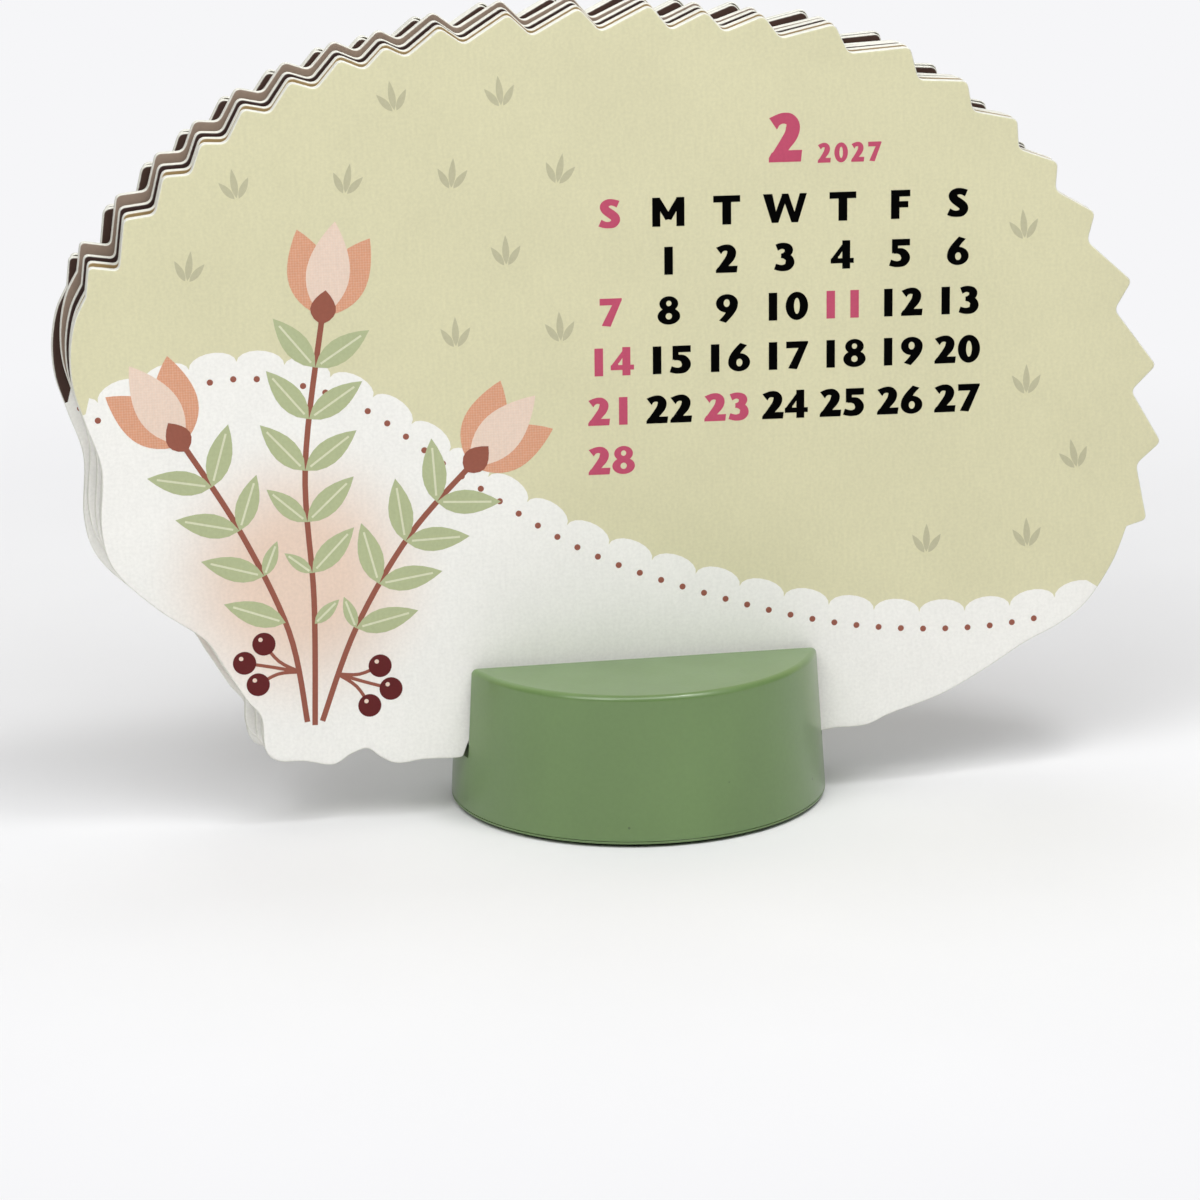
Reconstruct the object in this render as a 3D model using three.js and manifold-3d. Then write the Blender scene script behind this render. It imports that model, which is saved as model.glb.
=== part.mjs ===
// Desk calendar: six die-cut boards that stand in the slot of a round moulded stand.
// Millimetres, +Z up. The origin is the middle of the foot pad's lower face, on the table.
// X runs along the slot, and +Y runs from the front board to the rear board.
import * as THREE from "three";
import { mergeVertices } from "three/addons/utils/BufferGeometryUtils.js";
import Module from "manifold-3d";

// Stand shell
const standRadius = 25.4; // at the shell's lower edge
const standHeight = 20.45; // table to the top face
const wallDraft = 0.056; // radius lost for each mm of height
const topFillet = 0.8;
const shellWall = 2.0;
const topWall = 2.0;
const slotDepth = 12.45; // below the top face
const troughWall = 1.6; // floor and sides of the slot, inside the shell
const postRadius = 2.0;
const postX = 11;
const postY = 14.5;

// Base plate and foot pad
const padRadius = 24.4;
const padThickness = 0.5;
const rimThickness = 0.3; // the edge of the plate that shows below the shell
const seam = 0.06; // between that edge and the shell
const plateThickness = 1.6;
const sleeveWall = 1.0;
const sleeveHeight = 4.0;
const postClearance = 0.2;
const fitClearance = 0.3;

// Deck of boards
const boardThickness = 1.6;
const boardGap = 0.34; // between neighbours at their feet
const slotClearance = 0.3; // under the deck, and before and behind it
// Each board's lean back and its turn in its own plane, in degrees, and its slip along the slot.
const boards = [
  { lean: 3.0, turn: 0.0, slip: 0.0, colour: 0xdad6b4 },
  { lean: 3.7, turn: -0.15, slip: 0.0, colour: 0xa08c5c },
  { lean: 4.1, turn: -0.4, slip: -0.6, colour: 0x4a3028 },
  { lean: 4.2, turn: -1.2, slip: -1.9, colour: 0x968778 },
  { lean: 4.3, turn: 0.35, slip: -1.4, colour: 0x4b332b },
  { lean: 4.4, turn: 0.35, slip: -1.0, colour: 0x5a5a44 },
];

// Board outline, as x along the slot and height above a line just below the board's foot.
// The back is a full oval that carries a row of leaning teeth.
const backCentreX = -3.8;
const backCentreHeight = 32.2;
const backHalfWidth = 72.1;
const backHalfHeight = 65.3;
const backFullness = 2.43; // 2 is an ellipse, and more is squarer
const backFrom = 149.8; // degrees, where the row of teeth starts at the head end
const backTo = 1.7;
// Teeth, from notch to notch along the back
const toothLengths = [
  8.6, 7.0, 6.1, 6.9, 6.8, 6.8, 5.7, 7.7, 8.9, 9.1, 9.3,
  7.2, 7.6, 9.4, 10.2, 8.6, 8.2, 7.7, 8.3, 10.2, 11.4, 10.2,
];
const toothRise = 0.355; // a tip's height over its notches, as a share of the tooth's length
const tipPlace = 0.4; // how far along the tooth its tip is, as a share, for a very short tooth
const tipPlaceGrowth = 0.033; // and what each mm of length adds to that
const cornerCut = 0.8; // length of a tooth's flank that its rounded corner takes
const cornerCutMost = 0.4; // the largest share of a short flank that it takes
const footHeight = 1.5; // of the foot that stands in the slot, above that line
const tabInset = 1.1; // from the end of the slot to the end of the board's foot
const tabLift = 3.4; // height of the small notch beside the board's foot
// Head end and front feet, from the notch beside the foot up to the first tooth.
const frontFeet = [
  [-24.7, 1.5], [-25.6, 1.2], [-30.0, 1.3], [-33.6, 1.0], [-35.8, 2.0],
  [-37.6, 3.3], [-39.8, 2.7], [-42.3, 1.4], [-46.0, 2.1], [-49.6, 2.4], [-51.3, 4.2],
];
const headEnd = [
  [-51.6, 8.4], [-53.5, 11.0], [-56.3, 15.7], [-58.8, 19.6], [-64.7, 24.0], [-70.0, 29.4],
  [-71.6, 35.0], [-71.2, 43.0], [-73.0, 49.2], [-74.4, 54.0], [-74.6, 58.5], [-73.8, 62.8], [-72.2, 66.0],
];
const headTooth = [-71.7, 69.9];
// Hind foot and tail end, from the last tooth down to the foot.
const tailTooth = [69.7, 28.1];
const tailEnd = [
  [66.9, 27.3], [64.9, 22.5], [61.4, 17.4], [57.6, 14.5], [52.6, 12.1],
  [46.9, 8.7], [40.8, 5.6], [33.6, 3.3], [30.4, 2.0], [26.0, 1.9],
];
const splineSteps = 3; // points for each given point along a smooth stretch

// Fineness of the round surfaces
const roundSteps = 72;
const postSides = 20;
const filletSteps = 5;
const arcDivisions = 400; // for the arc length of the back
const weldDistance = 1e-4;
const overrun = 1; // how far a cutting solid runs past the face that it opens

const wasm = await Module();
wasm.setup();

function toSolid(geometry) {
  const bare = geometry.clone();
  bare.deleteAttribute("normal");
  bare.deleteAttribute("uv");
  const merged = mergeVertices(bare, weldDistance);
  return new wasm.Manifold(
    new wasm.Mesh({
      numProp: 3,
      vertProperties: new Float32Array(merged.attributes.position.array),
      triVerts: new Uint32Array(merged.index.array),
    }),
  );
}

function toGeometry(solid) {
  const mesh = solid.getMesh();
  const indexed = new THREE.BufferGeometry();
  indexed.setAttribute("position", new THREE.BufferAttribute(mesh.vertProperties, 3));
  indexed.setIndex(new THREE.BufferAttribute(mesh.triVerts, 1));
  const flat = indexed.toNonIndexed();
  flat.computeVertexNormals();
  return flat;
}

// A solid of revolution about Z from [radius, height] points that start and end on the axis.
function turned(profile) {
  const points = profile.map(([r, z]) => new THREE.Vector2(r, z));
  return new THREE.LatheGeometry(points, roundSteps).rotateX(Math.PI / 2);
}

function upright(radius, from, to, x, y) {
  const post = new THREE.CylinderGeometry(radius, radius, to - from, postSides);
  return toSolid(post.rotateX(Math.PI / 2).translate(x, y, (from + to) / 2));
}

function block(sizeX, sizeY, from, to) {
  const box = new THREE.BoxGeometry(sizeX, sizeY, to - from);
  return toSolid(box.translate(0, 0, (from + to) / 2));
}

const rad = THREE.MathUtils.degToRad;
const rearLean = rad(boards[boards.length - 1].lean);
const boardPitch = boardThickness + boardGap;

// The slot is as wide as the deck at its feet, and as the rear board's lean asks at the top.
const deckDepth = (boards.length - 1) * boardPitch + boardThickness / Math.cos(rearLean);
const slotWidth = deckDepth + (slotDepth + footHeight) * Math.tan(rearLean) + 2 * slotClearance;
const slotFloor = standHeight - slotDepth;
const slotHalfLength = Math.sqrt(standRadius ** 2 - (slotWidth / 2) ** 2);

const rimTop = padThickness + rimThickness;
const shellBottom = rimTop + seam;
const plateTop = padThickness + plateThickness;
const outerRadiusAt = (z) => standRadius - wallDraft * (z - shellBottom);
const innerRadiusAt = (z) => outerRadiusAt(z) - shellWall;
const postPlaces = [-1, 1].flatMap((sx) => [-1, 1].map((sy) => [sx * postX, sy * postY]));

function standShell() {
  const filletCentreR = outerRadiusAt(standHeight - topFillet) - topFillet;
  const outerProfile = [[0, shellBottom], [standRadius, shellBottom]];
  for (let i = 0; i <= filletSteps; i++) {
    const a = ((Math.PI / 2) * i) / filletSteps;
    outerProfile.push([
      filletCentreR + topFillet * Math.cos(a),
      standHeight - topFillet + topFillet * Math.sin(a),
    ]);
  }
  outerProfile.push([0, standHeight]);
  const outer = toSolid(turned(outerProfile));

  const ceiling = standHeight - topWall;
  const below = shellBottom - overrun;
  const inner = toSolid(
    turned([
      [0, below],
      [innerRadiusAt(shellBottom), below],
      [innerRadiusAt(shellBottom), shellBottom],
      [innerRadiusAt(ceiling), ceiling],
      [0, ceiling],
    ]),
  );
  const through = 2 * (standRadius + overrun);
  const above = standHeight + overrun;
  const trough = block(through, slotWidth + 2 * troughWall, slotFloor - troughWall, above);
  let hollow = inner.subtract(trough);
  for (const [x, y] of postPlaces)
    hollow = hollow.subtract(upright(postRadius, plateTop + fitClearance, standHeight, x, y));
  const slot = block(through, slotWidth, slotFloor, above);
  return toGeometry(outer.subtract(slot).subtract(hollow));
}

function basePlate() {
  const spigotRadius = innerRadiusAt(plateTop) - fitClearance;
  let plate = toSolid(
    turned([
      [0, padThickness],
      [standRadius, padThickness],
      [standRadius, rimTop],
      [spigotRadius, rimTop],
      [spigotRadius, plateTop],
      [0, plateTop],
    ]),
  );
  const bore = postRadius + postClearance;
  const sleeveRoot = plateTop - plateThickness / 2;
  for (const [x, y] of postPlaces) {
    const sleeve = upright(bore + sleeveWall, sleeveRoot, plateTop + sleeveHeight, x, y);
    plate = plate.add(sleeve).subtract(upright(bore, plateTop, standHeight, x, y));
  }
  return toGeometry(plate);
}

function footPad() {
  return turned([[0, 0], [padRadius, 0], [padRadius, padThickness], [0, padThickness]]);
}

class BackCurve extends THREE.Curve {
  getPoint(t, target = new THREE.Vector2()) {
    const a = rad(backFrom + (backTo - backFrom) * t);
    const bulge = (v) => Math.sign(v) * Math.abs(v) ** (2 / backFullness);
    return target.set(
      backCentreX + backHalfWidth * bulge(Math.cos(a)),
      backCentreHeight + backHalfHeight * bulge(Math.sin(a)),
    );
  }
}

// The notches and tips of the back, in turn from the head end to the tail end.
function backCorners() {
  const curve = new BackCurve();
  curve.arcLengthDivisions = arcDivisions;
  const total = toothLengths.reduce((sum, length) => sum + length, 0);
  const corners = [curve.getPointAt(0)];
  let gone = 0;
  for (const length of toothLengths) {
    gone += length;
    const from = corners[corners.length - 1];
    const to = curve.getPointAt(Math.min(gone / total, 1));
    const along = to.clone().sub(from);
    const out = new THREE.Vector2(-along.y, along.x).normalize();
    const place = tipPlace + tipPlaceGrowth * length;
    const height = toothRise * length;
    corners.push(from.clone().addScaledVector(along, place).addScaledVector(out, height), to);
  }
  return corners;
}

// Three points that round off a corner between its two neighbours.
function rounded(before, corner, after) {
  const step = (to) => {
    const way = to.clone().sub(corner);
    return corner.clone().addScaledVector(way, Math.min(cornerCut / way.length(), cornerCutMost));
  };
  const a = step(before);
  const b = step(after);
  const middle = corner.clone().multiplyScalar(2).add(a).add(b).divideScalar(4);
  return [a, middle, b];
}

function smooth(points) {
  const curve = new THREE.SplineCurve(points.map(([x, y]) => new THREE.Vector2(x, y)));
  return curve.getPoints(splineSteps * (points.length - 1));
}

function boardOutline() {
  const tabHalf = slotHalfLength - tabInset;
  const foot = [
    new THREE.Vector2(tabHalf, footHeight),
    new THREE.Vector2(-tabHalf, footHeight),
    new THREE.Vector2(-tabHalf - tabInset / 2, tabLift),
  ];
  const headSide = smooth([...frontFeet, ...headEnd]);
  const tailSide = smooth(tailEnd);
  const corners = [
    headSide[headSide.length - 1],
    new THREE.Vector2(...headTooth),
    ...backCorners(),
    new THREE.Vector2(...tailTooth),
    tailSide[0],
  ];
  const back = corners
    .slice(1, -1)
    .flatMap((corner, i) => rounded(corners[i], corner, corners[i + 2]));
  return [...foot, ...headSide, ...back, ...tailSide];
}

function boardGeometry() {
  const shape = new THREE.Shape(boardOutline());
  const board = new THREE.ExtrudeGeometry(shape, { depth: boardThickness, bevelEnabled: false });
  return board.translate(0, 0, -boardThickness);
}

function piece(name, geometry, color, roughness) {
  const material = new THREE.MeshStandardMaterial({ color, roughness, metalness: 0 });
  const mesh = new THREE.Mesh(geometry, material);
  mesh.name = name;
  return mesh;
}

const calendar = new THREE.Group();
const standColour = 0x72875e;
calendar.add(piece("stand_shell", standShell(), standColour, 0.42));
calendar.add(piece("base_plate", basePlate(), standColour, 0.5));
calendar.add(piece("foot_pad", footPad(), 0x4c4f48, 0.9));

// A board's own plane is tilted upright, with its printed face forward, and then leans back.
const outlineGeometry = boardGeometry();
boards.forEach(({ lean, turn, slip, colour }, i) => {
  const back = rad(lean);
  const plane = new THREE.Group();
  plane.position.set(
    slip,
    -slotWidth / 2 + slotClearance + i * boardPitch,
    slotFloor + slotClearance - footHeight + boardThickness * Math.sin(back),
  );
  plane.rotation.x = Math.PI / 2 - back;
  const card = piece(`card_${i + 1}`, outlineGeometry, colour, 0.75);
  card.rotation.z = rad(turn);
  card.position.y = slotHalfLength * Math.abs(Math.sin(rad(turn)));
  plane.add(card);
  calendar.add(plane);
});

export default calendar;
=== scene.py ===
"""Desk calendar: six die-cut, printed boards in the slot of a round moulded stand.

Sizes are in millimetres until a mesh is made, and Blender works in metres. A board's own frame has x along
the slot, y up the board from its foot, and z out of its printed front, which is at z = 0.
"""

import calendar
import math
import random

import bmesh
import bpy
from mathutils import Matrix, Vector
from mathutils.geometry import delaunay_2d_cdt


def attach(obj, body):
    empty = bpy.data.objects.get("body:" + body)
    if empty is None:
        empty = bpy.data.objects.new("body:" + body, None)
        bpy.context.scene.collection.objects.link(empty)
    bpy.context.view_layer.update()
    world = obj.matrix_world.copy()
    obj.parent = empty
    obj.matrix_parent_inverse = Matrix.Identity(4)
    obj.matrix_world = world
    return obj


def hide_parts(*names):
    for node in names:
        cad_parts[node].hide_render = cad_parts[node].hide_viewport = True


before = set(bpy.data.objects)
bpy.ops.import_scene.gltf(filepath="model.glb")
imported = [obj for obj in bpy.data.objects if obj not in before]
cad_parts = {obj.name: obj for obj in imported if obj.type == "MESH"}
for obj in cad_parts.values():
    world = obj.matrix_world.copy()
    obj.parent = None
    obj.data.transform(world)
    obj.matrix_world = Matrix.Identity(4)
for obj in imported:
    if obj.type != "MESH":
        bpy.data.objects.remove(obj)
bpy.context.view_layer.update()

MM = 0.001

# Stand, base plate and pad, as in the solids
STAND_RADIUS = 25.4
STAND_HEIGHT = 20.45
WALL_DRAFT = 0.056
TOP_FILLET = 0.8
SHELL_WALL = 2.0
TOP_WALL = 2.0
SLOT_DEPTH = 12.45
TROUGH_WALL = 1.6
PAD_RADIUS = 24.4
PAD_THICKNESS = 0.5
RIM_TOP = 0.8
SHELL_BOTTOM = 0.86
PLATE_TOP = 2.1
FIT_CLEARANCE = 0.3
EDGE_ROUND = 0.07  # on the edges of the plate and the pad

# Deck of boards
THICKNESS = 1.6
PITCH = 1.94
SLOT_CLEARANCE = 0.3
LEANS = (3.0, 3.7, 4.1, 4.2, 4.3, 4.4)
TURNS = (0.0, -0.15, -0.4, -1.2, 0.35, 0.35)
SLIPS = (0.0, 0.0, -0.6, -1.9, -1.4, -1.0)
FOOT_HEIGHT = 1.5  # of the foot in the slot, above the line from which the outline's heights are measured
DECK_DEPTH = (len(LEANS) - 1) * PITCH + THICKNESS / math.cos(math.radians(LEANS[-1]))
LEAN_ROOM = (SLOT_DEPTH + FOOT_HEIGHT) * math.tan(math.radians(LEANS[-1]))
SLOT_WIDTH = DECK_DEPTH + LEAN_ROOM + 2 * SLOT_CLEARANCE
SLOT_FLOOR = STAND_HEIGHT - SLOT_DEPTH
SLOT_HALF_LENGTH = math.sqrt(STAND_RADIUS**2 - (SLOT_WIDTH / 2) ** 2)

# Board outline
BACK_CENTRE = (-3.8, 32.2)
BACK_HALF = (72.1, 65.3)
BACK_FULLNESS = 2.43
BACK_FROM = 149.8
BACK_TO = 1.7
TOOTH_LENGTHS = (
    8.6, 7.0, 6.1, 6.9, 6.8, 6.8, 5.7, 7.7, 8.9, 9.1, 9.3,
    7.2, 7.6, 9.4, 10.2, 8.6, 8.2, 7.7, 8.3, 10.2, 11.4, 10.2,
)
TOOTH_RISE = 0.355
TIP_PLACE = 0.4
TIP_PLACE_GROWTH = 0.033
CORNER_CUT = 0.8
CORNER_CUT_MOST = 0.4
TAB_INSET = 1.1
TAB_LIFT = 3.4
FRONT_FEET = (
    (-24.7, 1.5), (-25.6, 1.2), (-30.0, 1.3), (-33.6, 1.0), (-35.8, 2.0),
    (-37.6, 3.3), (-39.8, 2.7), (-42.3, 1.4), (-46.0, 2.1), (-49.6, 2.4), (-51.3, 4.2),
)
HEAD_END = (
    (-51.6, 8.4), (-53.5, 11.0), (-56.3, 15.7), (-58.8, 19.6), (-64.7, 24.0), (-70.0, 29.4),
    (-71.6, 35.0), (-71.2, 43.0), (-73.0, 49.2), (-74.4, 54.0), (-74.6, 58.5), (-73.8, 62.8), (-72.2, 66.0),
)
HEAD_TOOTH = (-71.7, 69.9)
TAIL_TOOTH = (69.7, 28.1)
TAIL_END = (
    (66.9, 27.3), (64.9, 22.5), (61.4, 17.4), (57.6, 14.5), (52.6, 12.1),
    (46.9, 8.7), (40.8, 5.6), (33.6, 3.3), (30.4, 2.0), (26.0, 1.9),
)
SPLINE_STEPS = 8
CORNER_STEPS = 6
ARC_DIVISIONS = 2000
LEAST_STEP = 0.02  # between neighbouring points

# The cut edge's section: inset from the outline, depth behind the face, and how bare of ink it is
FACE_RINGS = (
    (0.5, 0.0, 0.0), (0.2, 0.0, 0.12), (0.11, 0.02, 0.45), (0.04, 0.07, 0.85), (0.0, 0.2, 1.0),
)


# Colours, here and below, are written as they look on screen, from 0 to 255.
CREAM = (214, 210, 174)
SNOW = (240, 239, 234)
BLUSH = (229, 205, 187)
WHITE_CORE = (229, 228, 218)
STAND_GREEN = (104, 132, 79)
PLATE_GREEN = (101, 128, 78)
SPECK_GREEN = (62, 74, 50)
# The pad's blacks are dark rubber deepened with painted contact shadow
PIT_AND_SHADE_BLACK = (16, 17, 16)
RUBBER_AND_SHADE_BLACK = (34, 35, 33)
DUST_GREY = (60, 60, 56)


def linear(colour):
    """A screen colour as the linear RGBA that a shader socket takes."""
    parts = [c / 255 for c in colour]
    return (*(p / 12.92 if p <= 0.04045 else ((p + 0.055) / 1.055) ** 2.4 for p in parts), 1.0)


# Materials. Sizes of their features are in mm.
SCREEN_PITCH = 0.34  # of the dots of a screened ink
SPECK_PITCH = 7.0
PIT_PITCH = 0.7
GLOW_CORE = 0.25  # share of a glow's radius where it is full


class Nodes:
    """A short way to write a material's node tree."""

    def __init__(self, name):
        self.material = bpy.data.materials.new(name)
        self.material.use_nodes = True
        self.tree = self.material.node_tree
        self.shader = self.tree.nodes["Principled BSDF"]
        self.coords = self.add("ShaderNodeTexCoord").outputs["Object"]

    def add(self, kind, **settings):
        node = self.tree.nodes.new(kind)
        for key, value in settings.items():
            setattr(node, key, value)
        return node

    def link(self, value, socket):
        if isinstance(value, bpy.types.NodeSocket):
            self.tree.links.new(value, socket)
        else:
            socket.default_value = value

    def put(self, name, value):
        """Gives the surface shader's input a constant or a link."""
        self.link(value, self.shader.inputs[name])

    def noise(self, size_mm, detail=2.0, stretch=(1, 1, 1)):
        """Noise with features of about that size, around 0.5."""
        mapping = self.add("ShaderNodeMapping")
        self.link(self.coords, mapping.inputs["Vector"])
        mapping.inputs["Scale"].default_value = stretch
        texture = self.add("ShaderNodeTexNoise")
        self.link(mapping.outputs["Vector"], texture.inputs["Vector"])
        texture.inputs["Scale"].default_value = 1 / (size_mm * MM)
        texture.inputs["Detail"].default_value = detail
        return texture.outputs["Fac"]

    def vary(self, size_mm, low, high, detail=2.0, stretch=(1, 1, 1), spread=0.2):
        """Noise that goes from low to high. The smaller the spread, the harder the steps."""
        return self.ramp(self.noise(size_mm, detail, stretch), 0.5 - spread, 0.5 + spread, low, high)

    def cells(self, size_mm, randomness=1.0):
        """Distance from the middles of cells of about that size, in cells."""
        texture = self.add("ShaderNodeTexVoronoi")
        self.link(self.coords, texture.inputs["Vector"])
        texture.inputs["Scale"].default_value = 1 / (size_mm * MM)
        texture.inputs["Randomness"].default_value = randomness
        return texture.outputs["Distance"]

    def distance_to(self, x, y):
        """Distance from a point of the plane z = 0, in metres."""
        node = self.add("ShaderNodeVectorMath", operation="DISTANCE")
        self.link(self.coords, node.inputs[0])
        node.inputs[1].default_value = (x * MM, y * MM, 0)
        return node.outputs["Value"]

    def math(self, operation, a, b):
        node = self.add("ShaderNodeMath", operation=operation)
        self.link(a, node.inputs[0])
        self.link(b, node.inputs[1])
        return node.outputs["Value"]

    def ramp(self, value, low, high, to_low=0.0, to_high=1.0):
        node = self.add("ShaderNodeMapRange", interpolation_type="SMOOTHSTEP")
        self.link(value, node.inputs["Value"])
        for key, limit in (("From Min", low), ("From Max", high), ("To Min", to_low), ("To Max", to_high)):
            node.inputs[key].default_value = limit
        return node.outputs["Result"]

    def mix(self, fac, a, b, blend="MIX"):
        node = self.add("ShaderNodeMix", data_type="RGBA", blend_type=blend)
        self.link(fac, node.inputs[0])
        self.link(a, node.inputs[6])
        self.link(b, node.inputs[7])
        return node.outputs[2]

    def shaded(self, colour, shade):
        """A colour made lighter or darker by a number."""
        grey = self.add("ShaderNodeCombineColor")
        for socket in grey.inputs[:3]:
            self.link(shade, socket)
        return self.mix(1.0, colour, grey.outputs["Color"], "MULTIPLY")

    def bump(self, height, distance_mm, strength, below=None):
        node = self.add("ShaderNodeBump")
        node.inputs["Strength"].default_value = strength
        node.inputs["Distance"].default_value = distance_mm * MM
        self.link(height, node.inputs["Height"])
        if below is not None:
            self.link(below, node.inputs["Normal"])
        return node.outputs["Normal"]


def paper_finish(n, colour, bare=0.0, roughness=0.62, specular=0.32):
    """Matt coated board: a cloudy ground, a fine grain, short fibres and a faint tooth."""
    cloud = n.vary(16, 0.982, 1.016, detail=3)
    grain = n.vary(0.42, 0.968, 1.03, spread=0.25)
    fibre = n.vary(0.5, 0.988, 1.012, detail=1, stretch=(1, 0.18, 1))
    shade = n.math("MULTIPLY", n.math("MULTIPLY", cloud, grain), fibre)
    n.put("Base Color", n.shaded(colour, shade))
    rough = n.vary(3, roughness - 0.05, roughness + 0.05)
    n.put("Roughness", n.math("ADD", rough, n.math("MULTIPLY", bare, 0.2)))
    n.put("Specular IOR Level", specular)
    tooth = n.bump(n.noise(0.22), 0.012, strength=0.35)
    waviness = n.bump(n.noise(9, 1), 0.05, strength=0.12, below=tooth)
    n.put("Normal", waviness)
    return n.material


def face_material(name, ground, glow=None):
    """A printed ground that thins out to bare board where the face rolls over to the cut edge."""
    n = Nodes(name)
    bare = n.add("ShaderNodeAttribute", attribute_name="bare").outputs["Fac"]
    colour = linear(ground)
    if glow:
        glow_colour, centre, radius = glow
        share = n.ramp(n.distance_to(*centre), radius * GLOW_CORE * MM, radius * MM, 1.0, 0.0)
        colour = n.mix(share, colour, linear(glow_colour))
    worn = n.ramp(n.math("ADD", bare, n.math("MULTIPLY", n.noise(0.7, 3), 0.25)), 0.2, 0.95)
    return paper_finish(n, n.mix(worn, colour, linear(WHITE_CORE)), bare)


def core_material():
    """The cut edge of the board: pressed layers, seen as fine lines along the edge."""
    n = Nodes("board_core")
    layers = n.vary(0.3, 0.80, 1.04, stretch=(0.04, 0.04, 1), spread=0.15)
    fluff = n.vary(0.5, 0.94, 1.03, detail=3, spread=0.25)
    n.put("Base Color", n.shaded(linear(WHITE_CORE), n.math("MULTIPLY", layers, fluff)))
    n.put("Roughness", 0.88)
    n.put("Specular IOR Level", 0.2)
    rough_cut = n.bump(n.noise(0.18, 3, (0.25, 0.25, 1)), 0.05, strength=0.6)
    n.put("Normal", rough_cut)
    return n.material


def ink_material(name, colour, screened=False, roughness=0.5, specular=0.36):
    """Ink on the board. A screened ink is broken up by a very fine pattern of printing dots."""
    n = Nodes(name)
    base = linear(colour)
    if screened:
        share = n.ramp(n.cells(SCREEN_PITCH, randomness=0.15), 0.25, 0.65, 0.0, 0.14)
        base = n.mix(share, base, linear(SNOW))
    return paper_finish(n, base, 0.0, roughness, specular)


def plastic_material(name, colour, roughness):
    """Moulded satin plastic: soft flow clouds, a fine pebble and a few dark specks."""
    n = Nodes(name)
    cloud = n.vary(13, 0.96, 1.04, detail=3, stretch=(1, 1, 0.5))
    grain = n.vary(0.6, 0.982, 1.018)
    shaded = n.shaded(linear(colour), n.math("MULTIPLY", cloud, grain))
    speck = n.ramp(n.cells(SPECK_PITCH), 0.016, 0.038, 0.6, 0.0)
    n.put("Base Color", n.mix(speck, shaded, linear(SPECK_GREEN)))
    n.put("Roughness", n.vary(9, roughness - 0.025, roughness + 0.025, detail=3))
    n.put("Specular IOR Level", 0.5)
    n.put("Coat Weight", 0.36)
    n.put("Coat Roughness", 0.12)
    pebble = n.bump(n.noise(0.35), 0.02, strength=0.25)
    n.put("Normal", n.bump(n.noise(7, 1), 0.06, strength=0.15, below=pebble))
    return n.material


def rubber_material():
    """The pad: a dark, slightly open-celled sheet. Its black is deepened so that the thin line under the
    stand reads as the contact shadow there, so it is partly painted shade.
    """
    n = Nodes("pad_rubber")
    solid = n.ramp(n.cells(PIT_PITCH), 0.1, 0.6)
    dust = n.ramp(n.noise(4, 4), 0.45, 0.75, 0.0, 0.3)
    dark = n.mix(solid, linear(PIT_AND_SHADE_BLACK), linear(RUBBER_AND_SHADE_BLACK))
    n.put("Base Color", n.mix(dust, dark, linear(DUST_GREY)))
    n.put("Roughness", n.ramp(solid, 0, 1, 0.95, 0.8))
    n.put("Specular IOR Level", 0.05)
    n.put("Normal", n.bump(solid, 0.08, strength=0.6))
    return n.material


# Flat shapes
CDT_INSIDE = 1  # the triangulation's mode that gives triangles inside the shapes only
SAME_POINT = 1e-5  # points closer than this, in mm, are made one


def catmull_rom(a, b, c, d, t):
    return 0.5 * (2 * b + (c - a) * t + (2 * a - 5 * b + 4 * c - d) * t**2 + (3 * b - a - 3 * c + d) * t**3)


def spline(points, steps):
    """Catmull-Rom curve through the points, whatever numbers each point holds."""
    out = []
    last = len(points) - 1
    for i in range(last):
        four = [points[max(0, min(last, i + k))] for k in (-1, 0, 1, 2)]
        for j in range(steps):
            out.append(tuple(catmull_rom(*values, j / steps) for values in zip(*four)))
    return [*out, tuple(points[-1])]


def sides(loop):
    """Each point of a closed loop with the one after it."""
    return zip(loop, [*loop[1:], loop[0]])


def counter_clockwise(loop):
    twice_area = sum(a[0] * b[1] - b[0] * a[1] for a, b in sides(loop))
    return list(loop) if twice_area > 0 else list(reversed(loop))


def united(loops):
    """The union of some simple polygons: its points, its triangles and its boundary edges."""
    points = []
    faces = []
    for loop in loops:
        loop = counter_clockwise(loop)
        faces.append(list(range(len(points), len(points) + len(loop))))
        points += [Vector(p) for p in loop]
    found, _, triangles, _, _, origins = delaunay_2d_cdt(points, [], faces, CDT_INSIDE, SAME_POINT)
    triangles = [t for t, origin in zip(triangles, origins) if origin]
    edges = [edge for t in triangles for edge in sides(t)]
    known = set(edges)
    boundary = [(a, b) for a, b in edges if (b, a) not in known]
    return [tuple(p) for p in found], triangles, boundary


def ribbon(path, steps=6):
    """A stroke along (x, y, width) points as overlapping quads."""
    points = spline(path, steps) if steps else list(path)
    edges = []
    for i, (x, y, width) in enumerate(points):
        before = points[max(i - 1, 0)]
        after = points[min(i + 1, len(points) - 1)]
        dx, dy = after[0] - before[0], after[1] - before[1]
        length = math.hypot(dx, dy)
        nx, ny = -dy / length * width / 2, dx / length * width / 2
        edges.append(((x + nx, y + ny), (x - nx, y - ny)))
    return [[a[0], a[1], b[1], b[0]] for a, b in zip(edges, edges[1:])]


def oval(cx, cy, rx, ry, steps=32):
    """A closed curve, whose last point is the first one again."""
    turns = [math.radians(360 * i / steps) for i in range(steps + 1)]
    return [(cx + rx * math.cos(a), cy + ry * math.sin(a)) for a in turns]


def circle(centre, radius, steps=28):
    return oval(*centre, radius, radius, steps)[:-1]


def turned(point, degrees, centre):
    """A point turned about the origin and moved to a centre."""
    c, s = math.cos(math.radians(degrees)), math.sin(math.radians(degrees))
    return centre[0] + point[0] * c - point[1] * s, centre[1] + point[0] * s + point[1] * c


def polar(centre, degrees, distance):
    a = math.radians(degrees)
    return centre[0] + distance * math.cos(a), centre[1] + distance * math.sin(a)


def distances(path):
    """How far along a path each of its points is."""
    gone = [0.0]
    for a, b in zip(path, path[1:]):
        gone.append(gone[-1] + math.dist(a, b))
    return gone


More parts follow.
